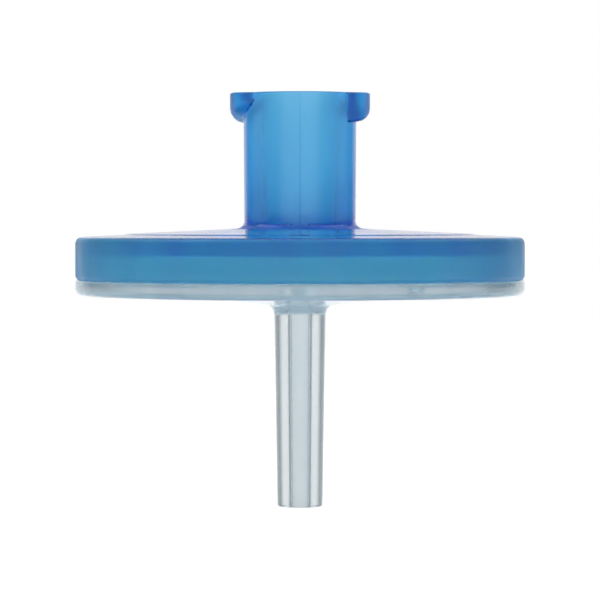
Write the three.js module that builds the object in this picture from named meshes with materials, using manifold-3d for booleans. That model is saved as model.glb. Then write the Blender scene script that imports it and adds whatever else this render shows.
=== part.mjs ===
// Syringe filter, 25 mm, with a female Luer-lock inlet and a tube outlet.
//
// Three pieces, welded together round the rim:
//   inlet_housing   blue polypropylene: the Luer hub with its two thread lugs, the cover disc
//                   with its skirt, and the ribs that spread the flow over the membrane
//   membrane        the white filter disc, clamped near its edge between the two housings
//   outlet_housing  natural polypropylene: the plate under the membrane with its drain
//                   grooves, the upstand weld ring and the outlet tube
//
// Millimetres. +Z runs up the flow axis, from the tip of the outlet tube, where the origin is,
// to the mouth of the inlet. The thread lugs lie along X.

import * as THREE from 'three';
import { mergeVertices } from 'three/addons/utils/BufferGeometryUtils.js';
import Module from 'manifold-3d';

const wasm = await Module();
wasm.setup();

const RADIAL_STEPS = 72;    // facets round the flow axis
const FILLET_STEPS = 3;     // facets in each rounded corner of a profile
const SINK = 0.1;           // how far a joined feature is sunk into what carries it
const FIT = 0.03;           // clearance between the weld ring and the walls of its groove

// The disc
const DISC_RADIUS = 12.515;
const UNDERSIDE = 11.83;          // height of the plate's underside at its edge
const UNDERSIDE_FALL = 0.38;      // how far the underside falls towards the tube
const PLATE_THICKNESS = 0.87;     // at the edge
const SKIRT_HEIGHT = 2.35;
const COVER_THICKNESS = 1;        // over the weld ring
const COVER_RISE = 0.045;         // slope of the cover's top, towards the hub
const COVER_STEP_RADIUS = 9.8;    // the middle of the cover stands a step proud of its edge
const COVER_STEP = 0.06;
const RIM_FILLET = 0.4;
const PLATE_FILLET = 0.33;
const SEAM_CHAMFER = 0.09;        // the V round the seam between skirt and plate

// The weld ring, drafted on its outside, and the step on its top that traps the weld flash
const WELD_RING_INNER = 9.85;
const WELD_RING_OUTER = 11.4;     // at its top
const WELD_RING_DRAFT = 0.55;     // how much wider its outside is at the foot
const FLASH_TRAP_RADIUS = 10.4;
const FLASH_TRAP_DEPTH = 0.06;

// The membrane lies against one side of its recess
const MEMBRANE_RADIUS = 9.45;
const MEMBRANE_THICKNESS = 0.15;
const MEMBRANE_DRIFT = 0.35;
const MEMBRANE_DRIFT_TURN = 245;  // degrees round from X

// The inlet chamber over the membrane, with its seal bead
const CHAMBER_RADIUS = 8;
const CHAMBER_HEIGHT = 0.7;       // from the membrane to the ceiling
const BEAD_INNER = 8.7;
const BEAD_OUTER = 9.06;
const BEAD_HEIGHT = 0.1;

// Ribs under the ceiling: rings of short arcs, parted by straight spokes
const RIB_RINGS = 4;
const RIBS_PER_RING = 8;
const RIB_OUTER = 7.25;           // outside radius of the outermost ring
const RIB_PITCH = 1.2;
const RIB_WIDTH = 0.63;
const RIB_HEIGHT = 0.35;
const RIB_CORNER = 0.2;
const SPOKE_WIDTH = 0.88;

// The Luer hub
const HUB_TOP = 23.06;
const HUB_RADIUS = 3.14;          // at its top
const HUB_FOOT_RADIUS = 3.105;
const HUB_FILLET = 0.45;
const HUB_EDGE = 0.08;            // rounding of the hub's top edge
const MOUTH_RADIUS = 2.2;
const MOUTH_DEPTH = 0.5;          // depth of the lead-in at the mouth
const LUER_RADIUS = 2.15;         // where the 6 % Luer taper starts
const LUER_TAPER = 0.03;          // fall in radius for each millimetre of depth
const LUER_FLOOR = 15.5;          // height of the bore's floor
const LUER_FLOOR_FILLET = 0.25;

// Feed slots through the edge of the bore's floor, over four of the spokes
const FEED_SLOTS = 4;
const FEED_SLOT_WIDTH = 0.85;
const FEED_SLOT_INNER = 1.62;
const FEED_SLOT_OUTER = 1.95;

// The two lugs, tapered in plan, with undersides that follow the Luer-lock thread
const LUG_RADIUS = 3.9;
const LUG_ROOT_HALF_WIDTH = 1.95;
const LUG_ROOT_REACH = 2.35;      // distance of the root from the axis, inside the hub's wall
const LUG_TIP_HALF_WIDTH = 1.4;
const LUG_UNDERSIDE = 21.7;       // height of the underside at the middle of a lug
const THREAD_LEAD = 5;            // right-hand, double start
const LUG_STEPS = 8;              // facets along a lug's outer edge

// Drain grooves under the membrane
const GROOVE_RINGS = 5;
const GROOVE_OUTER = 7;           // outside radius of the outermost groove
const GROOVE_WIDTH = 0.6;
const GROOVE_DEPTH = 0.35;
const DRAIN_RADIUS = 1.05;        // well at the head of the outlet bore
const DRAIN_DEPTH = 0.75;

// The outlet tube
const TUBE_TIP_RADIUS = 1.27;
const TUBE_ROOT_RADIUS = 1.44;
const TUBE_FILLET = 0.6;          // at the root
const TUBE_EDGE = 0.1;            // rounding of the tip
const BORE_TIP_RADIUS = 0.45;
const BORE_HEAD_RADIUS = 0.52;

const PARTING = UNDERSIDE + PLATE_THICKNESS;          // where the skirt sits on the plate
const RIM_TOP = PARTING + SKIRT_HEIGHT;
const WELD_RING_TOP = RIM_TOP - COVER_THICKNESS;
const MEMBRANE_TOP = PARTING + MEMBRANE_THICKNESS;
const CEILING = MEMBRANE_TOP + CHAMBER_HEIGHT;

// Corners of a profile, each [radius, height] or [radius, height, fillet], become the points
// of its outline. A fillet is an arc tangent to both sides of its corner.
function outline(corners) {
  return corners.flatMap(([radius, height, fillet], i) => {
    const corner = new THREE.Vector2(radius, height);
    if (!fillet) {
      return [corner];
    }
    const [before, after] = [corners.at(i - 1), corners[(i + 1) % corners.length]]
      .map(([r, z]) => new THREE.Vector2(r, z).sub(corner).normalize());
    const half = before.angleTo(after) / 2;
    const towardsCentre = before.clone().add(after).normalize();
    const centre = towardsCentre.multiplyScalar(fillet / Math.sin(half)).add(corner);
    const start = before.clone().multiplyScalar(fillet / Math.tan(half)).add(corner);
    const turn = -Math.sign(before.cross(after)) * (Math.PI - 2 * half);
    return Array.from({ length: FILLET_STEPS + 1 }, (_, step) =>
      start.clone().rotateAround(centre, (turn * step) / FILLET_STEPS));
  });
}

// A body of revolution about Z. A profile runs up its outside and down its inside, and either
// starts and ends on the axis or closes on itself.
function revolve(corners) {
  const points = outline(corners);
  if (points[0].x > 0) {
    points.push(points[0].clone());
  }
  return new THREE.LatheGeometry(points, RADIAL_STEPS).rotateX(Math.PI / 2);
}

// A closed geometry as a solid that can be joined and cut.
function solid(geometry) {
  const bare = mergeVertices(geometry.deleteAttribute('normal').deleteAttribute('uv'));
  const index = Array.from(bare.index.array);
  const triVerts = [];
  for (let i = 0; i < index.length; i += 3) {
    const triangle = index.slice(i, i + 3);
    if (new Set(triangle).size === 3) {
      triVerts.push(...triangle);
    }
  }
  return new wasm.Manifold(new wasm.Mesh({
    numProp: 3,
    vertProperties: bare.attributes.position.array,
    triVerts: new Uint32Array(triVerts),
  }));
}

function mesh(name, body, material) {
  const { vertProperties, triVerts } = body.getMesh();
  const geometry = new THREE.BufferGeometry();
  geometry.setAttribute('position', new THREE.BufferAttribute(vertProperties, 3));
  geometry.setIndex(new THREE.BufferAttribute(triVerts, 1));
  geometry.computeVertexNormals();
  const piece = new THREE.Mesh(geometry, material);
  piece.name = name;
  return piece;
}

// One rib: an arc with rounded corners, hanging from the ceiling.
function rib(outer, turn) {
  const inner = outer - RIB_WIDTH;
  const middle = (outer + inner) / 2;
  const reach = Math.PI / RIBS_PER_RING - SPOKE_WIDTH / 2 / middle;
  const corner = RIB_CORNER / middle;
  const at = (radius, angle) => [radius * Math.cos(angle), radius * Math.sin(angle)];
  const plan = new THREE.Shape()
    .moveTo(...at(outer, corner - reach))
    .absarc(0, 0, outer, corner - reach, reach - corner)
    .quadraticCurveTo(...at(outer, reach), ...at(outer - RIB_CORNER, reach))
    .lineTo(...at(inner + RIB_CORNER, reach))
    .quadraticCurveTo(...at(inner, reach), ...at(inner, reach - corner))
    .absarc(0, 0, inner, reach - corner, corner - reach, true)
    .quadraticCurveTo(...at(inner, -reach), ...at(inner + RIB_CORNER, -reach))
    .lineTo(...at(outer - RIB_CORNER, -reach))
    .quadraticCurveTo(...at(outer, -reach), ...at(outer, corner - reach));
  return new THREE.ExtrudeGeometry(plan, {
    depth: RIB_HEIGHT + SINK,
    bevelEnabled: false,
    curveSegments: 2,
  }).rotateZ(turn).translate(0, 0, CEILING - RIB_HEIGHT);
}

// One lug: an outline tapered in plan, as deep as the lug is high. The points of its underside
// are then raised or lowered onto the helix of the thread.
function lug(turn) {
  const tip = Math.asin(LUG_TIP_HALF_WIDTH / LUG_RADIUS);
  const flanks = new THREE.Shape()
    .moveTo(LUG_ROOT_REACH, -LUG_ROOT_HALF_WIDTH)
    .lineTo(LUG_RADIUS * Math.cos(tip), -LUG_TIP_HALF_WIDTH)
    .absarc(0, 0, LUG_RADIUS, -tip, tip)
    .lineTo(LUG_ROOT_REACH, LUG_ROOT_HALF_WIDTH);
  const geometry = new THREE.ExtrudeGeometry(flanks, {
    depth: HUB_TOP - LUG_UNDERSIDE,
    bevelEnabled: false,
    curveSegments: LUG_STEPS / 2,
  });
  const { position } = geometry.attributes;
  for (let i = 0; i < position.count; i += 1) {
    if (position.getZ(i) === 0) {
      const angle = Math.atan2(position.getY(i), position.getX(i));
      position.setZ(i, (THREE.MathUtils.radToDeg(angle) / 360) * THREAD_LEAD);
    }
  }
  return geometry.rotateZ(turn).translate(0, 0, LUG_UNDERSIDE);
}

// A straight slot along X, from one radius to another, centred on the height of its middle.
function slot(inner, outer, width, depth, height, turn) {
  return new THREE.BoxGeometry(outer - inner, width, depth)
    .translate((inner + outer) / 2, 0, height)
    .rotateZ(turn);
}

function turns(count) {
  return Array.from({ length: count }, (_, i) => (i * 2 * Math.PI) / count);
}

function inletHousing() {
  const chamberFloor = MEMBRANE_TOP + BEAD_HEIGHT;
  const edgeRise = COVER_RISE * (DISC_RADIUS - COVER_STEP_RADIUS);
  const hubRise = COVER_RISE * (COVER_STEP_RADIUS - HUB_FOOT_RADIUS);
  const stepFoot = RIM_TOP + edgeRise;
  const stepHead = stepFoot + COVER_STEP;
  const luerEnd = LUER_RADIUS - LUER_TAPER * (HUB_TOP - MOUTH_DEPTH - LUER_FLOOR);
  let body = solid(revolve([
    [0, CEILING],
    [CHAMBER_RADIUS, CEILING],
    [CHAMBER_RADIUS, chamberFloor],
    [BEAD_INNER, chamberFloor],
    [BEAD_INNER, MEMBRANE_TOP],
    [BEAD_OUTER, MEMBRANE_TOP],
    [BEAD_OUTER, chamberFloor],
    [WELD_RING_INNER - FIT, chamberFloor],
    [WELD_RING_INNER - FIT, WELD_RING_TOP],
    [WELD_RING_OUTER + FIT, WELD_RING_TOP],
    [WELD_RING_OUTER + FIT + WELD_RING_DRAFT, PARTING],
    [DISC_RADIUS - SEAM_CHAMFER, PARTING],
    [DISC_RADIUS, PARTING + 2 * SEAM_CHAMFER],
    [DISC_RADIUS, RIM_TOP, RIM_FILLET],
    [COVER_STEP_RADIUS, stepFoot],
    [COVER_STEP_RADIUS - COVER_STEP, stepHead],
    [HUB_FOOT_RADIUS, stepHead + hubRise, HUB_FILLET],
    [HUB_RADIUS, HUB_TOP, HUB_EDGE],
    [MOUTH_RADIUS, HUB_TOP],
    [LUER_RADIUS, HUB_TOP - MOUTH_DEPTH],
    [luerEnd, LUER_FLOOR, LUER_FLOOR_FILLET],
    [0, LUER_FLOOR],
  ]));
  for (const turn of turns(2)) {
    body = body.add(solid(lug(turn)));
  }
  for (let ring = 0; ring < RIB_RINGS; ring += 1) {
    for (const turn of turns(RIBS_PER_RING)) {
      const betweenSpokes = turn + Math.PI / RIBS_PER_RING;
      body = body.add(solid(rib(RIB_OUTER - ring * RIB_PITCH, betweenSpokes)));
    }
  }
  const slotMiddle = (CEILING + LUER_FLOOR) / 2;
  const slotDepth = LUER_FLOOR - CEILING + 2 * (LUER_FLOOR_FILLET + SINK);
  for (const turn of turns(FEED_SLOTS)) {
    const cut = slot(FEED_SLOT_INNER, FEED_SLOT_OUTER, FEED_SLOT_WIDTH, slotDepth, slotMiddle, turn);
    body = body.subtract(solid(cut));
  }
  const material = new THREE.MeshStandardMaterial({ color: '#4285c8', roughness: 0.25, metalness: 0 });
  return mesh('inlet_housing', body, material);
}

function membrane() {
  const body = solid(revolve([
    [0, 0],
    [MEMBRANE_RADIUS, 0],
    [MEMBRANE_RADIUS, MEMBRANE_THICKNESS],
    [0, MEMBRANE_THICKNESS],
  ]));
  const material = new THREE.MeshStandardMaterial({ color: '#f3f2ec', roughness: 0.9, metalness: 0 });
  const disc = mesh('membrane', body, material);
  const drift = THREE.MathUtils.degToRad(MEMBRANE_DRIFT_TURN);
  disc.position.set(MEMBRANE_DRIFT * Math.cos(drift), MEMBRANE_DRIFT * Math.sin(drift), PARTING);
  return disc;
}

function outletHousing() {
  const centreUnderside = UNDERSIDE - UNDERSIDE_FALL;
  const grooveFloor = PARTING - GROOVE_DEPTH;
  const grooves = Array.from({ length: GROOVE_RINGS }, (_, ring) => {
    const outer = GROOVE_OUTER - ring * 2 * GROOVE_WIDTH;
    const inner = outer - GROOVE_WIDTH;
    return [[outer, PARTING], [outer, grooveFloor], [inner, grooveFloor], [inner, PARTING]];
  }).flat();
  let body = solid(revolve([
    [BORE_TIP_RADIUS, 0],
    [TUBE_TIP_RADIUS, 0, TUBE_EDGE],
    [TUBE_ROOT_RADIUS, centreUnderside, TUBE_FILLET],
    [DISC_RADIUS, UNDERSIDE, PLATE_FILLET],
    [DISC_RADIUS, PARTING - SEAM_CHAMFER],
    [DISC_RADIUS - SEAM_CHAMFER, PARTING],
    [WELD_RING_OUTER + WELD_RING_DRAFT, PARTING],
    [WELD_RING_OUTER, WELD_RING_TOP],
    [FLASH_TRAP_RADIUS, WELD_RING_TOP],
    [FLASH_TRAP_RADIUS - FLASH_TRAP_DEPTH, WELD_RING_TOP - FLASH_TRAP_DEPTH],
    [WELD_RING_INNER, WELD_RING_TOP - FLASH_TRAP_DEPTH],
    [WELD_RING_INNER, PARTING],
    ...grooves,
    [DRAIN_RADIUS, PARTING],
    [BORE_HEAD_RADIUS, PARTING - DRAIN_DEPTH],
  ]));
  const channelMiddle = PARTING - GROOVE_DEPTH / 2 + SINK / 2;
  for (const turn of turns(RIBS_PER_RING)) {
    const cut = slot(0, GROOVE_OUTER - SINK, GROOVE_WIDTH, GROOVE_DEPTH + SINK, channelMiddle, turn);
    body = body.subtract(solid(cut));
  }
  const material = new THREE.MeshStandardMaterial({ color: '#cdd4d4', roughness: 0.35, metalness: 0 });
  return mesh('outlet_housing', body, material);
}

const syringeFilter = new THREE.Group();
syringeFilter.name = 'syringe_filter';
syringeFilter.add(inletHousing(), membrane(), outletHousing());

export default syringeFilter;
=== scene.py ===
"""A 25 mm syringe filter in studio light: a blue polypropylene inlet housing and a natural
polypropylene outlet housing, both moulded, round a white membrane.

Shapes are worked out in millimetres and made in metres. Heights are measured up the flow
axis from the tip of the outlet tube.
"""
import math
from functools import partial

import bmesh
import bpy
from mathutils import Matrix, Vector


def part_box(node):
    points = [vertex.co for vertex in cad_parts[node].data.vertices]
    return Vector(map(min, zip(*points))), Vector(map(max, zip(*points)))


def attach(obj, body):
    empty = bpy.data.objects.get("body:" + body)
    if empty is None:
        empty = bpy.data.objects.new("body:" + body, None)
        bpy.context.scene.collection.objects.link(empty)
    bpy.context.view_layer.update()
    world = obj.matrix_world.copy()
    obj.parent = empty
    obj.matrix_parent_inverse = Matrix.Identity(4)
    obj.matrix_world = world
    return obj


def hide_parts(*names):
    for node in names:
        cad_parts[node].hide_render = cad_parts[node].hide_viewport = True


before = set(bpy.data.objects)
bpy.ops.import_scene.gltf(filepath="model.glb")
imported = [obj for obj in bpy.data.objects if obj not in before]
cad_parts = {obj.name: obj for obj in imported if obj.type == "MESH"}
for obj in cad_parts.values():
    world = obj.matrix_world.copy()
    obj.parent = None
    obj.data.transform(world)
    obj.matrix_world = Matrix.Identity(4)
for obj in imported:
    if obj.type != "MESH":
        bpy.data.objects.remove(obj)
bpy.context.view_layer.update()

MM = 0.001
STEPS = 288            # facets round the flow axis
BALL_STEPS = 24        # facets round a ball
FILLET_STEPS = 5       # facets in each rounded corner of a profile
HAIR = 0.01            # air left between pieces that touch, so that light sees both surfaces
OVERCUT = 0.1          # how far a cutting tool reaches past the face that it cuts
SHARP_ANGLE = 32       # degrees between two faces, from which their edge stays sharp

# Heights and radii that the frame gives
inlet_low, inlet_high = [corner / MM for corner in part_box("inlet_housing")]
PARTING = inlet_low.z
HUB_TOP = inlet_high.z
DISC_RADIUS = inlet_high.y
WELD_RING_TOP = (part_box("outlet_housing")[1] / MM).z
MEMBRANE_TOP = (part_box("membrane")[1] / MM).z

# The cover disc and its skirt
COVER_THICKNESS = 1.0  # over the weld ring
RIM_TOP = WELD_RING_TOP + COVER_THICKNESS
COVER_RISE = 0.045     # slope of the cover towards the hub
STEP_RADIUS = 9.8      # the middle of the cover stands a step proud of its edge
STEP_HEIGHT = 0.06
STEP_WIDTH = 0.15
STEP_FOOT = RIM_TOP + COVER_RISE * (DISC_RADIUS - STEP_RADIUS)
STEP_HEAD = STEP_FOOT + STEP_HEIGHT
RIM_FILLET = 0.4
SEAM_CHAMFER = 0.09

# The weld ring and its groove
RING_INNER = 9.85
RING_OUTER = 11.4
RING_DRAFT = 0.55
RING_FIT = 0.03
TRAP_RADIUS = 10.4
TRAP_DEPTH = 0.06

# The chamber over the membrane
CHAMBER_RADIUS = 8.0
CHAMBER_HEIGHT = 0.7
CEILING = MEMBRANE_TOP + CHAMBER_HEIGHT
BEAD_INNER = 8.7
BEAD_OUTER = 9.06
BEAD_HEIGHT = 0.1
RIB_RINGS = 4
RIBS_PER_RING = 8
RIB_OUTER = 7.25
RIB_PITCH = 1.2
RIB_WIDTH = 0.63
RIB_HEIGHT = 0.35
RIB_CORNER = 0.2
RIB_TIP = ((0.0, -0.1), (0.03, -0.05), (0.09, -0.02))      # rounding: height over the tip, growth
RIB_ROOT = ((-0.08, 0.0), (-0.03, 0.02), (0.02, 0.06))     # the same, over the ceiling
CORNER_STEPS = 4
ARC_STEPS = 12
SPOKE_WIDTH = 0.88

# The Luer hub and its lugs
HUB_RADIUS = 3.14
HUB_FOOT_RADIUS = 3.105
HUB_FOOT = STEP_HEAD + COVER_RISE * (STEP_RADIUS - HUB_FOOT_RADIUS)
HUB_FILLET = 0.45
HUB_DRAFT_END = 0.5    # below the lugs; the hub is straight from there up
MOUTH_RADIUS = 2.2
MOUTH_DEPTH = 0.5
LUER_RADIUS = 2.15
LUER_TAPER = 0.03
LUER_FLOOR = 15.5
FEED_SLOTS = 4
FEED_SLOT_WIDTH = 0.85
FEED_SLOT_REACH = 1.78     # middle of a slot in the floor of the Luer
FEED_SLOT_LEAN = 0.38      # how far out its lower end is
FEED_SLOT_DEPTH = 0.32
FEED_SLOT_STEPS = 24       # facets round a slot
LUG_RADIUS = 3.9
LUG_ROOT_REACH = 2.35
LUG_ROOT_HALF_WIDTH = 1.95
LUG_TIP_HALF_WIDTH = 1.4
LUG_UNDERSIDE = 21.7
LUG_CORNER = 0.5
LUG_CROWN = ((0.08, 0.0), (0.03, 0.02), (0.0, 0.08))     # rounding: depth below the top, shrink
THREAD_LEAD = 5.0

# The plate and the outlet tube
UNDERSIDE = 11.83
UNDERSIDE_FALL = 0.38
SHOULDER_RADIUS = 4.6  # from here in, the underside falls faster
SHOULDER_FALL = 0.2
GROOVE_RINGS = 5
GROOVE_OUTER = 7.0
GROOVE_WIDTH = 0.6
GROOVE_DEPTH = 0.35
DRAIN_RADIUS = 1.05
DRAIN_DEPTH = 0.75
CHANNEL_LENGTH = 2 * GROOVE_OUTER - 0.2
TUBE_TIP_RADIUS = 1.27
TUBE_ROOT_RADIUS = 1.44
TUBE_FILLET = 0.6
BORE_TIP_RADIUS = 0.45
BORE_HEAD_RADIUS = 0.52

# Marks of moulding, welding and handling
RIDGE_HALF_WIDTH = 0.12    # the ridge where the halves of the mould met, at its root
RIDGE_ROOT = 0.05
RIDGE_HEIGHT = 0.03
RIDGE_END = 0.1             # below the hub's top
SCUFF_HALF_WIDTH = 0.12    # of a scratch in the cover, measured a little above it
SCUFF_DEPTH = 0.04
SCUFF_RUN = ((0, 0.2), (0.15, 1), (0.85, 1), (1, 0.2))     # share of its length, of its depth
SCUFFS = (                 # from and to, seen from above
    ((6.07, 1.17), (7.47, 0.03)),
    ((5.29, 0.40), (5.70, -0.17)),
    ((7.81, 1.15), (7.91, -0.15)),
)
SINK_RADIUS = 0.3          # small round sinks in the edge of the plate
SINK_DEPTH = 0.05
SINKS = ((5.73, 12.31), (5.97, 12.31), (6.37, 12.33))      # place and height
BEADS = ((5.35, 0.3), (7.8, 0.22), (-10.2, 0.2))     # drops of weld flash: place, half length
BEAD_INSET = 0.03
BEAD_DROP = 0.08            # below the seam
BEAD_HALF_DEPTH = 0.08
BEAD_HALF_HEIGHT = 0.065


# ---- Making meshes ----

def outline(corners):
    """The points of a profile. Each corner is (radius, height) or (radius, height, fillet)."""
    points = []
    for i, (radius, height, *fillet) in enumerate(corners):
        corner = Vector((radius, height))
        if not fillet:
            points.append(corner)
            continue
        before = (Vector(corners[i - 1][:2]) - corner).normalized()
        after = (Vector(corners[(i + 1) % len(corners)][:2]) - corner).normalized()
        half = before.angle(after) / 2
        centre = corner + (before + after).normalized() * fillet[0] / math.sin(half)
        start = corner + before * fillet[0] / math.tan(half) - centre
        turn = -math.copysign(math.pi - 2 * half, before.cross(after))
        for step in range(FILLET_STEPS + 1):
            points.append(centre + Matrix.Rotation(turn * step / FILLET_STEPS, 2) @ start)
    return points


def new_piece(name, bm):
    """A mesh object from bm, in metres, with its faces turned outwards."""
    bmesh.ops.recalc_face_normals(bm, faces=bm.faces)
    bmesh.ops.scale(bm, vec=(MM, MM, MM), verts=bm.verts)
    mesh = bpy.data.meshes.new(name)
    bm.to_mesh(mesh)
    bm.free()
    piece = bpy.data.objects.new(name, mesh)
    bpy.context.scene.collection.objects.link(piece)
    return piece


def revolve(name, corners):
    """A body of revolution. The profile runs up its outside and down its inside."""
    bm = bmesh.new()
    columns = []
    points = outline(corners)
    poles = {i: bm.verts.new((0, 0, p.y)) for i, p in enumerate(points) if p.x == 0}
    for step in range(STEPS):
        turn = 2 * math.pi * step / STEPS
        columns.append([
            poles.get(i) or bm.verts.new((p.x * math.cos(turn), p.x * math.sin(turn), p.y))
            for i, p in enumerate(points)
        ])
    sides = len(points) - (1 if poles else 0)
    for step in range(STEPS):
        here, there = columns[step], columns[(step + 1) % STEPS]
        for i in range(sides):
            j = (i + 1) % len(points)
            ring = dict.fromkeys((here[i], there[i], there[j], here[j]))
            bm.faces.new(ring)
    return new_piece(name, bm)


def loft(bm, sections):
    """A closed body through sections, lists of as many points each, from its foot to its head."""
    rings = [[bm.verts.new(point) for point in section] for section in sections]
    for low, high in zip(rings, rings[1:]):
        for i in range(len(low)):
            j = (i + 1) % len(low)
            bm.faces.new((low[i], low[j], high[j], high[i]))
    bm.faces.new(list(reversed(rings[0])))
    bm.faces.new(rings[-1])


def combine(piece, tool, operation):
    """Joins or cuts piece with tool, and drops tool."""
    modifier = piece.modifiers.new(operation, "BOOLEAN")
    modifier.operation = operation
    modifier.solver = "EXACT"
    modifier.object = tool
    evaluated = piece.evaluated_get(bpy.context.evaluated_depsgraph_get())
    mesh = bpy.data.meshes.new_from_object(evaluated)
    piece.modifiers.clear()
    old, piece.data = piece.data, mesh
    bpy.data.meshes.remove(old)
    bpy.data.objects.remove(tool)


def smooth(piece):
    """Shades the piece smooth, apart from its sharp edges."""
    piece.data.polygons.foreach_set("use_smooth", [True] * len(piece.data.polygons))
    piece.data.set_sharp_from_angle(angle=math.radians(SHARP_ANGLE))


def polar(radius, angle, height):
    """A point from its distance from the flow axis, its angle and its height."""
    return Vector((radius * math.cos(angle), radius * math.sin(angle), height))


# ---- The inlet housing ----

def inlet_profile():
    """Half of the housing's section, from the chamber round the skirt and up the hub."""
    floor = MEMBRANE_TOP + BEAD_HEIGHT
    luer_end = LUER_RADIUS - LUER_TAPER * (HUB_TOP - MOUTH_DEPTH - LUER_FLOOR)
    return [
        (0, CEILING),
        (CHAMBER_RADIUS, CEILING, 0.12),
        (CHAMBER_RADIUS, floor, 0.06),
        (BEAD_INNER, floor, 0.03),
        (BEAD_INNER, MEMBRANE_TOP + HAIR, 0.04),
        (BEAD_OUTER, MEMBRANE_TOP + HAIR, 0.04),
        (BEAD_OUTER, floor, 0.03),
        (RING_INNER - RING_FIT, floor, 0.06),
        (RING_INNER - RING_FIT, WELD_RING_TOP + HAIR, 0.05),
        (RING_OUTER + RING_FIT, WELD_RING_TOP + HAIR, 0.12),
        (RING_OUTER + RING_FIT + RING_DRAFT, PARTING + HAIR, 0.04),
        (DISC_RADIUS - SEAM_CHAMFER, PARTING + HAIR, 0.03),
        (DISC_RADIUS, PARTING + 2 * SEAM_CHAMFER, 0.12),
        (DISC_RADIUS, RIM_TOP, RIM_FILLET),
        (STEP_RADIUS, STEP_FOOT, 0.03),
        (STEP_RADIUS - STEP_WIDTH, STEP_HEAD, 0.03),
        (HUB_FOOT_RADIUS, HUB_FOOT, HUB_FILLET),
        (HUB_RADIUS, LUG_UNDERSIDE - HUB_DRAFT_END),
        (HUB_RADIUS, HUB_TOP, 0.08),
        (MOUTH_RADIUS, HUB_TOP, 0.05),
        (LUER_RADIUS, HUB_TOP - MOUTH_DEPTH, 0.3),
        (luer_end, LUER_FLOOR, 0.25),
        (0, LUER_FLOOR),
    ]


def rib_section(outer, turn, height, grow):
    """The plan of a rib at one height, grown or shrunk all round."""
    middle = outer - RIB_WIDTH / 2
    corner = RIB_CORNER + grow
    depth = RIB_WIDTH / 2 + grow - corner
    reach = math.pi / RIBS_PER_RING - (SPOKE_WIDTH / 2 - grow + corner) / middle
    points = []
    for out, left, start in ((1, 1, 0), (-1, 1, 90), (-1, -1, 180), (1, -1, 270)):
        for step in range(CORNER_STEPS + 1):
            bend = math.radians(start + 90 * step / CORNER_STEPS)
            radius = middle + out * depth + corner * math.cos(bend)
            points.append((radius, left * reach + corner * math.sin(bend) / middle))
        if out == left:
            continue
        for step in range(1, ARC_STEPS):
            points.append((radius, left * reach * (1 - 2 * step / ARC_STEPS)))
    return [polar(radius, turn + angle, height) for radius, angle in points]


def add_ribs(bm):
    """The rings of ribs that hang from the ceiling of the chamber."""
    tip = CEILING - RIB_HEIGHT
    levels = [(tip + lift, grow) for lift, grow in RIB_TIP]
    levels += [(CEILING + lift, grow) for lift, grow in RIB_ROOT]
    for ring in range(RIB_RINGS):
        outer = RIB_OUTER - ring * RIB_PITCH
        for i in range(RIBS_PER_RING):
            turn = 2 * math.pi * (i + 0.5) / RIBS_PER_RING
            loft(bm, [rib_section(outer, turn, height, grow) for height, grow in levels])


def lug_plan(shrink):
    """The lug's outline from its root round its tip and back, shrunk on its free sides."""
    radius = LUG_RADIUS - shrink
    tip = math.asin(LUG_TIP_HALF_WIDTH / LUG_RADIUS) * (1 - shrink / LUG_TIP_HALF_WIDTH)
    root = LUG_ROOT_HALF_WIDTH - shrink
    rim = [polar(radius, tip * (step / ARC_STEPS - 1), 0) for step in range(2 * ARC_STEPS + 1)]
    return [Vector((LUG_ROOT_REACH, -root, 0))] + rim + [Vector((LUG_ROOT_REACH, root, 0))]


def add_lugs(bm):
    """The two lugs. Their undersides follow the thread of a Luer lock."""
    bends = [math.radians(90 * step / CORNER_STEPS) for step in range(CORNER_STEPS + 1)]
    foot = [
        (LUG_CORNER * (1 - math.cos(bend)), LUG_CORNER * (1 - math.sin(bend)))
        for bend in bends
    ]
    for turn in (0, 180):
        spin = Matrix.Rotation(math.radians(turn), 3, "Z")
        sections = []
        for lift, shrink in foot:
            sections.append([
                spin @ (point + Vector((0, 0, LUG_UNDERSIDE + lift + thread_rise(point))))
                for point in lug_plan(shrink)
            ])
        for drop, shrink in LUG_CROWN:
            sections.append([
                spin @ (point + Vector((0, 0, HUB_TOP - drop)))
                for point in lug_plan(shrink)
            ])
        loft(bm, sections)


def thread_rise(point):
    """How far the thread has climbed at this point's angle."""
    return math.atan2(point.y, point.x) / (2 * math.pi) * THREAD_LEAD


def cover_height(radius):
    """The height of the cover's top at this radius, inside its step."""
    return STEP_HEAD + COVER_RISE * (STEP_RADIUS - radius)


def add_parting_lines(bm):
    """The fine ridges over the cover and up the hub, where the halves of the mould met."""
    start = STEP_RADIUS - 2 * STEP_WIDTH
    path = outline([
        (start, cover_height(start)),
        (HUB_FOOT_RADIUS, HUB_FOOT, HUB_FILLET),
        (HUB_RADIUS, HUB_TOP - RIDGE_END),
    ])
    for turn in (90, 270):
        spin = Matrix.Rotation(math.radians(turn), 3, "Z")
        sections = []
        for i, point in enumerate(path):
            along = (path[min(i + 1, len(path) - 1)] - path[max(i - 1, 0)]).normalized()
            outwards = Vector((along.y, -along.x))
            root = point - outwards * RIDGE_ROOT
            crest = point + outwards * RIDGE_HEIGHT
            sections.append([
                spin @ Vector((root.x, -RIDGE_HALF_WIDTH, root.y)),
                spin @ Vector((crest.x, 0, crest.y)),
                spin @ Vector((root.x, RIDGE_HALF_WIDTH, root.y)),
            ])
        loft(bm, sections)


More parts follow.
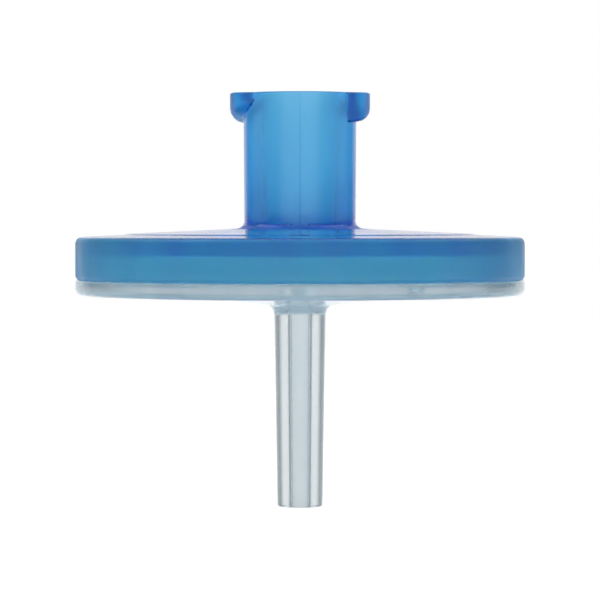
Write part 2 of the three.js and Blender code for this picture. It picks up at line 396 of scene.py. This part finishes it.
def add_scuffs(bm):
    """Short scratches in the cover, shallow at their ends."""
    for start, end in SCUFFS:
        start, end = Vector(start), Vector(end)
        across = (end - start).orthogonal().normalized() * SCUFF_HALF_WIDTH
        sections = []
        for share, depth in SCUFF_RUN:
            middle = start.lerp(end, share)
            top = cover_height(middle.length)
            sections.append([
                (middle - across).to_3d() + Vector((0, 0, top + SCUFF_DEPTH)),
                (middle + across).to_3d() + Vector((0, 0, top + SCUFF_DEPTH)),
                middle.to_3d() + Vector((0, 0, top - SCUFF_DEPTH * depth)),
            ])
        loft(bm, sections)
    for face in bm.faces:
        face.material_index = 1


def add_feed_slots(bm):
    """The slots that lead from the floor of the Luer into the chamber, leaning outwards."""
    low, high = CEILING - RIB_HEIGHT, LUER_FLOOR + OVERCUT
    half_width = (FEED_SLOT_WIDTH - FEED_SLOT_DEPTH) / 2
    half_depth = FEED_SLOT_DEPTH / 2
    for i in range(FEED_SLOTS):
        turn = Matrix.Rotation(2 * math.pi * i / FEED_SLOTS, 3, "Z")
        sections = []
        for height in (low, high):
            reach = FEED_SLOT_REACH + FEED_SLOT_LEAN * (high - height) / (high - low)
            section = []
            for step in range(FEED_SLOT_STEPS):
                bend = 2 * math.pi * (step + 0.5) / FEED_SLOT_STEPS
                across = math.copysign(half_width, math.sin(bend)) + half_depth * math.sin(bend)
                section.append(turn @ Vector((reach + half_depth * math.cos(bend), across, height)))
            sections.append(section)
        loft(bm, sections)


def made_by(*makers):
    """A piece from the bodies that the makers add."""
    bm = bmesh.new()
    for maker in makers:
        maker(bm)
    return new_piece("tool", bm)


def make_inlet_housing(plastic, scuffed):
    """The blue housing: hub, cover and skirt in one moulding."""
    piece = revolve("inlet_housing_moulding", inlet_profile())
    piece.data.materials.append(plastic)
    piece.data.materials.append(scuffed)
    combine(piece, made_by(add_ribs, add_lugs, add_parting_lines), "UNION")
    combine(piece, made_by(add_feed_slots), "DIFFERENCE")
    combine(piece, made_by(add_scuffs), "DIFFERENCE")
    smooth(piece)
    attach(piece, "root")
    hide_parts("inlet_housing")


# ---- The outlet housing ----

def outlet_profile():
    """Half of the housing's section, from the tube's tip round the plate and back to its bore."""
    centre = UNDERSIDE - UNDERSIDE_FALL
    run = (SHOULDER_RADIUS - TUBE_ROOT_RADIUS) / (DISC_RADIUS - TUBE_ROOT_RADIUS)
    shoulder = centre + UNDERSIDE_FALL * run
    seat = PARTING - HAIR
    groove_floor = PARTING - GROOVE_DEPTH
    corners = [
        (BORE_TIP_RADIUS, 0, 0.04),
        (TUBE_TIP_RADIUS, 0, 0.1),
        (TUBE_ROOT_RADIUS, centre - SHOULDER_FALL, TUBE_FILLET),
        (SHOULDER_RADIUS, shoulder, 1.0),
        (DISC_RADIUS, UNDERSIDE, 0.33),
        (DISC_RADIUS, PARTING - SEAM_CHAMFER, 0.05),
        (DISC_RADIUS - SEAM_CHAMFER, seat, 0.03),
        (RING_OUTER + RING_DRAFT, seat, 0.04),
        (RING_OUTER, WELD_RING_TOP - HAIR, 0.1),
        (TRAP_RADIUS, WELD_RING_TOP - HAIR, 0.03),
        (TRAP_RADIUS - TRAP_DEPTH, WELD_RING_TOP - TRAP_DEPTH, 0.03),
        (RING_INNER, WELD_RING_TOP - TRAP_DEPTH, 0.06),
        (RING_INNER, seat, 0.03),
    ]
    for ring in range(GROOVE_RINGS):
        outer = GROOVE_OUTER - ring * 2 * GROOVE_WIDTH
        inner = outer - GROOVE_WIDTH
        corners += [(outer, seat, 0.05), (outer, groove_floor, 0.08)]
        corners += [(inner, groove_floor, 0.08), (inner, seat, 0.05)]
    corners += [(DRAIN_RADIUS, seat, 0.05), (BORE_HEAD_RADIUS, PARTING - DRAIN_DEPTH, 0.2)]
    return corners


def add_drain_channel(bm, turn):
    """One channel across the drain grooves."""
    size = Matrix.Diagonal((CHANNEL_LENGTH, GROOVE_WIDTH, GROOVE_DEPTH + OVERCUT, 1))
    place = Matrix.Translation((0, 0, PARTING - (GROOVE_DEPTH - OVERCUT) / 2))
    bmesh.ops.create_cube(bm, size=1, matrix=Matrix.Rotation(turn, 4, "Z") @ place @ size)


def add_sink(bm, x, height):
    """A ball that leaves a small sink in the front of the plate's edge."""
    turn = -math.acos(x / DISC_RADIUS)
    place = Matrix.Translation(polar(DISC_RADIUS + SINK_RADIUS - SINK_DEPTH, turn, height))
    bmesh.ops.create_uvsphere(bm, u_segments=BALL_STEPS, v_segments=BALL_STEPS // 2,
                              radius=SINK_RADIUS, matrix=place)


def add_beads(bm):
    """Drops of weld flash on the front of the seam."""
    for x, half_length in BEADS:
        turn = -math.acos(x / DISC_RADIUS)
        place = Matrix.Translation(polar(DISC_RADIUS - BEAD_INSET, turn, PARTING - BEAD_DROP))
        size = Matrix.Diagonal((BEAD_HALF_DEPTH, half_length, BEAD_HALF_HEIGHT, 1))
        shape = Matrix.Rotation(turn, 4, "Z") @ size
        bmesh.ops.create_uvsphere(bm, u_segments=BALL_STEPS, v_segments=BALL_STEPS // 2,
                                  radius=1, matrix=place @ shape)


def make_outlet_housing(plastic):
    """The uncoloured housing: plate, weld ring and outlet tube in one moulding."""
    piece = revolve("outlet_housing_moulding", outlet_profile())
    piece.data.materials.append(plastic)
    for i in range(RIBS_PER_RING // 2):
        turn = 2 * math.pi * i / RIBS_PER_RING
        combine(piece, made_by(partial(add_drain_channel, turn=turn)), "DIFFERENCE")
    for x, height in SINKS:
        combine(piece, made_by(partial(add_sink, x=x, height=height)), "DIFFERENCE")
    combine(piece, made_by(add_beads), "UNION")
    smooth(piece)
    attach(piece, "root")
    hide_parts("outlet_housing")


# ---- Materials ----

# Distances from the flow axis where the mould's finish changes
WALL_MIDDLE = (LUER_RADIUS + HUB_RADIUS) / 2
LUG_START = HUB_RADIUS + 0.06
COVER_START = LUG_RADIUS + 0.2
EDGE_START = DISC_RADIUS - 0.2

POLYPROPYLENE_IOR = 1.49

# Roughness and haze of the blue housing, from the flow axis outwards: (start, value)
BLUE_FINISH = (
    (0, 0.42),             # the Luer's bore
    (WALL_MIDDLE, 0.17),   # the outside of the hub
    (LUG_START, 0.45),     # the lugs
    (COVER_START, 0.12),   # the cover, from a polished mould
    (EDGE_START, 0.45),    # the edge of the skirt
)
DISC_HAZE = ((0, 0.09), (EDGE_START, 0.33))
HUB_HAZE = ((0, 0.12), (LUG_START, 0.17))
BLUE_DEPTH = 930.0         # how fast the blue deepens with the plastic's thickness, per metre

NATURAL_FINISH = 0.10
TUBE_HAZE = 0.15
PLATE_HAZE = 0.34
NATURAL_DEPTH = 20.0

# The plastic's unevenness, in soft streaks
FINISH_STREAK = 1.0        # width of a streak in the finish
HAZE_STREAK = 2.5          # width of a streak in the haze
STREAK_DRAW = 0.3          # a streak is 1 / 0.3 times as long as it is wide
STREAK_SPREAD = 0.15
NOISE_LOW = 0.3            # nearly all of a noise texture lies between these
NOISE_HIGH = 0.7

# The mould's polish marks are finer than this. They are drawn as coarse as they need to show.
TEXTURE_SIZE = 0.12
TEXTURE_DEPTH = 0.0005

SCRATCH_FINISH = 0.8
SCRATCH_SIZE = 0.05        # the torn specks in a scratch
SCRATCH_SPREAD = 0.2

# The membrane's pores are under a thousandth of a millimetre. The grain is drawn coarser.
GRAIN_SIZE = 0.2
GRAIN_DEPTH = 0.01
FILM_GLOW = 0.91           # how far light spreads in the film


def linear(hex_colour):
    """An sRGB hex colour as linear red, green, blue and alpha."""
    channels = [int(hex_colour[i:i + 2], 16) / 255 for i in (0, 2, 4)]
    return [c / 12.92 if c <= 0.04045 else ((c + 0.055) / 1.055) ** 2.4 for c in channels] + [1]


def add_node(tree, kind, inputs=None, **settings):
    """A new node with its settings, and its inputs set or linked."""
    node = tree.nodes.new(kind)
    for name, value in settings.items():
        setattr(node, name, value)
    for name, value in (inputs or {}).items():
        if isinstance(value, bpy.types.NodeSocket):
            tree.links.new(value, node.inputs[name])
        else:
            node.inputs[name].default_value = value
    return node


def new_material(name):
    """An empty material and its node tree."""
    material = bpy.data.materials.new(name)
    material.use_nodes = True
    material.node_tree.nodes.clear()
    return material, material.node_tree


def by_radius(tree, where, zones):
    """A value that depends on the distance from the flow axis. Each zone is (start, value)."""
    span = DISC_RADIUS * MM
    flat = add_node(tree, "ShaderNodeVectorMath", {0: where, 1: (1 / span, 1 / span, 0)},
                    operation="MULTIPLY").outputs["Vector"]
    share = add_node(tree, "ShaderNodeVectorMath", {0: flat}, operation="LENGTH").outputs["Value"]
    ramp = add_node(tree, "ShaderNodeValToRGB", {"Fac": share})
    stops = ramp.color_ramp.elements
    ramp.color_ramp.interpolation = "CONSTANT"
    stops.remove(stops[1])
    for i, (start, value) in enumerate(zones):
        stop = stops.new(start / DISC_RADIUS) if i else stops[0]
        stop.color = (value, value, value, 1)
    return ramp.outputs["Color"]


def by_height(tree, where, low, high, below, above):
    """A value that goes from below to above between two heights in millimetres."""
    height = add_node(tree, "ShaderNodeSeparateXYZ", {"Vector": where}).outputs["Z"]
    value = add_node(tree, "ShaderNodeMapRange", {
        "Value": height,
        "From Min": low * MM,
        "From Max": high * MM,
        "To Min": below,
        "To Max": above,
    })
    return value.outputs["Result"]


def mottled(tree, where, value, size, spread=STREAK_SPREAD):
    """The value, up to spread more or less of it in soft streaks. They are size millimetres
    wide, and longer up the flow axis, the way the melt ran."""
    drawn = add_node(tree, "ShaderNodeVectorMath", {0: where, 1: (1, 1, STREAK_DRAW)},
                     operation="MULTIPLY").outputs["Vector"]
    noise = add_node(tree, "ShaderNodeTexNoise", {
        "Vector": drawn,
        "Scale": 1 / (size * MM),
        "Detail": 1.0,
    })
    share = add_node(tree, "ShaderNodeMapRange", {
        "Value": noise.outputs["Fac"],
        "From Min": NOISE_LOW,
        "From Max": NOISE_HIGH,
        "To Min": 1 - spread,
        "To Max": 1 + spread,
    }, interpolation_type="SMOOTHSTEP")
    varied = add_node(tree, "ShaderNodeMath", {0: value, 1: share.outputs["Result"]},
                      operation="MULTIPLY")
    return varied.outputs["Value"]


def mould_texture(tree, where):
    """The fine texture that the mould's polished steel leaves."""
    grain = add_node(tree, "ShaderNodeTexNoise", {
        "Vector": where,
        "Scale": 1 / (TEXTURE_SIZE * MM),
    })
    bump = add_node(tree, "ShaderNodeBump", {
        "Height": grain.outputs["Fac"],
        "Distance": TEXTURE_DEPTH * MM,
    })
    return bump.outputs["Normal"]


def blue_polypropylene():
    """Blue polypropylene, moulded: clear enough to see through a wall, slightly milky, and
    deeper in colour the thicker it is."""
    material, tree = new_material("blue polypropylene, moulded")
    where = add_node(tree, "ShaderNodeTexCoord").outputs["Object"]
    rough = mottled(tree, where, by_radius(tree, where, BLUE_FINISH), FINISH_STREAK)
    texture = mould_texture(tree, where)
    clear = add_node(tree, "ShaderNodeBsdfPrincipled", {
        "Base Color": linear("f7f7f7"),
        "Roughness": rough,
        "IOR": POLYPROPYLENE_IOR,
        "Transmission Weight": 1.0,
        "Normal": texture,
    })
    milk = add_node(tree, "ShaderNodeBsdfPrincipled", {
        "Base Color": linear("35d4f1"),
        "Roughness": rough,
        "IOR": POLYPROPYLENE_IOR,
        "Normal": texture,
    })
    disc_haze = by_radius(tree, where, DISC_HAZE)
    hub_haze = by_radius(tree, where, HUB_HAZE)
    haze = by_height(tree, where, HUB_FOOT, HUB_FOOT + HUB_FILLET, disc_haze, hub_haze)
    haze = mottled(tree, where, haze, HAZE_STREAK)
    shader = add_node(tree, "ShaderNodeMixShader", {
        0: haze,
        1: clear.outputs["BSDF"],
        2: milk.outputs["BSDF"],
    })
    depth = add_node(tree, "ShaderNodeVolumeAbsorption", {
        "Color": linear("00ddfc"),
        "Density": BLUE_DEPTH,
    })
    add_node(tree, "ShaderNodeOutputMaterial", {
        "Surface": shader.outputs["Shader"],
        "Volume": depth.outputs["Volume"],
    })
    return material


def scuffed_polypropylene():
    """Blue polypropylene where something has scratched it: pale and matt."""
    material, tree = new_material("blue polypropylene, scuffed")
    where = add_node(tree, "ShaderNodeTexCoord").outputs["Object"]
    shader = add_node(tree, "ShaderNodeBsdfPrincipled", {
        "Base Color": linear("5fa9ec"),
        "Roughness": mottled(tree, where, SCRATCH_FINISH, SCRATCH_SIZE, SCRATCH_SPREAD),
        "IOR": POLYPROPYLENE_IOR,
    })
    add_node(tree, "ShaderNodeOutputMaterial", {"Surface": shader.outputs["BSDF"]})
    return material


def natural_polypropylene():
    """Uncoloured polypropylene, moulded: clearer in the thin tube than in the plate. Its milky
    share is pale blue: a little of that is the haze's own cast, the rest is painted blue light that
    stands in for light from the blue housing.
    """
    material, tree = new_material("natural polypropylene, moulded")
    where = add_node(tree, "ShaderNodeTexCoord").outputs["Object"]
    rough = mottled(tree, where, NATURAL_FINISH, FINISH_STREAK)
    texture = mould_texture(tree, where)
    clear = add_node(tree, "ShaderNodeBsdfPrincipled", {
        "Base Color": linear("f3f3f3"),
        "Roughness": rough,
        "IOR": POLYPROPYLENE_IOR,
        "Transmission Weight": 1.0,
        "Normal": texture,
    })
    # Pale blue milk: partly the haze's own cast, partly painted blue light from the blue housing
    milk = add_node(tree, "ShaderNodeBsdfPrincipled", {
        "Base Color": linear("d1f3ff"),
        "Roughness": rough,
        "IOR": POLYPROPYLENE_IOR,
        "Normal": texture,
    })
    root = UNDERSIDE - UNDERSIDE_FALL
    haze = by_height(tree, where, root - TUBE_FILLET, root, TUBE_HAZE, PLATE_HAZE)
    haze = mottled(tree, where, haze, HAZE_STREAK)
    shader = add_node(tree, "ShaderNodeMixShader", {
        0: haze,
        1: clear.outputs["BSDF"],
        2: milk.outputs["BSDF"],
    })
    depth = add_node(tree, "ShaderNodeVolumeAbsorption", {
        "Color": linear("005989"),
        "Density": NATURAL_DEPTH,
    })
    add_node(tree, "ShaderNodeOutputMaterial", {
        "Surface": shader.outputs["Shader"],
        "Volume": depth.outputs["Volume"],
    })
    return material


def membrane_film():
    """Cast porous membrane: a dead matt white film with a fine grain."""
    material, tree = new_material("membrane film, cast")
    where = add_node(tree, "ShaderNodeTexCoord").outputs["Object"]
    grain = add_node(tree, "ShaderNodeTexNoise", {
        "Vector": where,
        "Scale": 1 / (GRAIN_SIZE * MM),
    })
    bump = add_node(tree, "ShaderNodeBump", {
        "Height": grain.outputs["Fac"],
        "Distance": GRAIN_DEPTH * MM,
    })
    shader = add_node(tree, "ShaderNodeBsdfPrincipled", {
        "Base Color": linear("f7f7f5"),
        "Roughness": 0.9,
        "Subsurface Weight": 1.0,
        "Subsurface Radius": (1, 1, 1),
        "Subsurface Scale": FILM_GLOW * MM,
        "Normal": bump.outputs["Normal"],
    })
    add_node(tree, "ShaderNodeOutputMaterial", {"Surface": shader.outputs["BSDF"]})
    return material


# ---- The studio ----

FLOOR_DROP = 30            # the filter is held clear of the floor
FLOOR_REACH = 900

# The light tent. A direction's share of an axis is 1 towards that axis and less between axes.
FLANK_SHARE = 0.8          # the panels on the left and right count for less than the others
SHADE_EDGE = 0.70          # share of an axis below which there is only shade
PANEL_EDGE = 0.85          # share of an axis from which there is only panel
SHADE_LEVEL = 0.18
SKY_LEVEL = 0.70           # what lights the matt surfaces

# The lamps, in metres and watts
LAMP_SIZE = 0.2
LAMP_AIM = Vector((0, 0, 0.012))
LAMPS = (
    ("left", (-0.25, 0.1, 0.35), 0.22),
    ("right", (0.25, 0.15, 0.35), 0.18),
)

# The camera, in millimetres
CAMERA_DISTANCE = 170
CAMERA_HEIGHT = 16.25
VIEW_WIDTH = 33.5          # what the picture's width shows at the flow axis
NEAR_LIMIT = 10            # nothing nearer to the camera is drawn


def make_studio():
    """A light tent: a white panel on each side of the filter and over it, and shade between
    the panels. The filter stands over a pale floor."""
    world = bpy.data.worlds.new("studio")
    bpy.context.scene.world = world
    world.cycles.sampling_method = "NONE"
    world.use_nodes = True
    tree = world.node_tree
    tree.nodes.clear()
    ray = add_node(tree, "ShaderNodeLightPath")
    where = add_node(tree, "ShaderNodeTexCoord").outputs["Generated"]
    reach = add_node(tree, "ShaderNodeVectorMath", {0: where},
                     operation="ABSOLUTE").outputs["Vector"]
    reach = add_node(tree, "ShaderNodeVectorMath", {0: reach, 1: (FLANK_SHARE, 1, 1)},
                     operation="MULTIPLY").outputs["Vector"]
    axes = add_node(tree, "ShaderNodeSeparateXYZ", {"Vector": reach})
    nearest = axes.outputs["X"]
    for axis in ("Y", "Z"):
        nearest = add_node(tree, "ShaderNodeMath", {0: nearest, 1: axes.outputs[axis]},
                           operation="MAXIMUM").outputs["Value"]
    panels = add_node(tree, "ShaderNodeMapRange", {
        "Value": nearest,
        "From Min": SHADE_EDGE,
        "From Max": PANEL_EDGE,
        "To Min": SHADE_LEVEL,
        "To Max": 1.0,
    })
    seen = add_node(tree, "ShaderNodeMath", {
        0: ray.outputs["Is Glossy Ray"],
        1: ray.outputs["Is Transmission Ray"],
    }, operation="MAXIMUM")
    level = add_node(tree, "ShaderNodeMapRange", {
        "Value": seen.outputs["Value"],
        "To Min": SKY_LEVEL,
        "To Max": panels.outputs["Result"],
    })
    level = add_node(tree, "ShaderNodeMath", {
        0: ray.outputs["Is Camera Ray"],
        1: level.outputs["Result"],
    }, operation="MAXIMUM")
    sky = add_node(tree, "ShaderNodeBackground", {
        "Color": linear("ffffff"),
        "Strength": level.outputs["Value"],
    })
    add_node(tree, "ShaderNodeOutputWorld", {"Surface": sky.outputs["Background"]})

    bm = bmesh.new()
    bmesh.ops.create_grid(bm, size=FLOOR_REACH)
    floor = new_piece("floor", bm)
    floor.location.z = -FLOOR_DROP * MM
    floor.data.materials.append(matt_paper())


def matt_paper():
    """Matt white paper under the filter. It takes the filter's shadow, and it is as white as
    the background where it is seen, reflected or looked at through the plastic."""
    material, tree = new_material("matt paper")
    ray = add_node(tree, "ShaderNodeLightPath")
    seen = ray.outputs["Is Camera Ray"]
    for other in ("Is Glossy Ray", "Is Transmission Ray"):
        seen = add_node(tree, "ShaderNodeMath", {0: seen, 1: ray.outputs[other]},
                        operation="MAXIMUM").outputs["Value"]
    glow = add_node(tree, "ShaderNodeEmission", {"Color": linear("cccccc"), "Strength": seen})
    paper = add_node(tree, "ShaderNodeBsdfDiffuse", {"Color": linear("dadada")})
    both = add_node(tree, "ShaderNodeAddShader", {
        0: glow.outputs["Emission"],
        1: paper.outputs["BSDF"],
    })
    add_node(tree, "ShaderNodeOutputMaterial", {"Surface": both.outputs["Shader"]})
    return material


def aim(thing, target):
    """Turns a lamp or a camera to the target."""
    thing.rotation_euler = (target - thing.location).to_track_quat("-Z", "Y").to_euler()


def make_lamp(name, place, power):
    """A large soft lamp, pointed at the filter."""
    lamp = bpy.data.lights.new(name, "AREA")
    lamp.size = LAMP_SIZE
    lamp.energy = power
    held = bpy.data.objects.new(name, lamp)
    bpy.context.scene.collection.objects.link(held)
    held.location = place
    aim(held, LAMP_AIM)


def make_camera():
    """The camera in front of the filter, a little above its middle."""
    camera = bpy.data.cameras.new("camera")
    held = bpy.data.objects.new("camera", camera)
    bpy.context.scene.collection.objects.link(held)
    bpy.context.scene.camera = held
    held.location = (0, -CAMERA_DISTANCE * MM, CAMERA_HEIGHT * MM)
    aim(held, Vector((0, 0, HUB_TOP * MM / 2)))
    camera.lens = camera.sensor_width * CAMERA_DISTANCE / VIEW_WIDTH
    camera.clip_start = NEAR_LIMIT * MM


make_camera()
make_studio()
for name, place, power in LAMPS:
    make_lamp(name, place, power)
make_inlet_housing(blue_polypropylene(), scuffed_polypropylene())
make_outlet_housing(natural_polypropylene())
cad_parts["membrane"].material_slots[0].material = membrane_film()

scene = bpy.context.scene
scene.view_settings.view_transform = "Standard"
scene.cycles.max_bounces = 24
scene.cycles.transmission_bounces = 24
scene.cycles.glossy_bounces = 12
scene.cycles.blur_glossy = 0.0      # blurring would lose light that comes out of the plastic
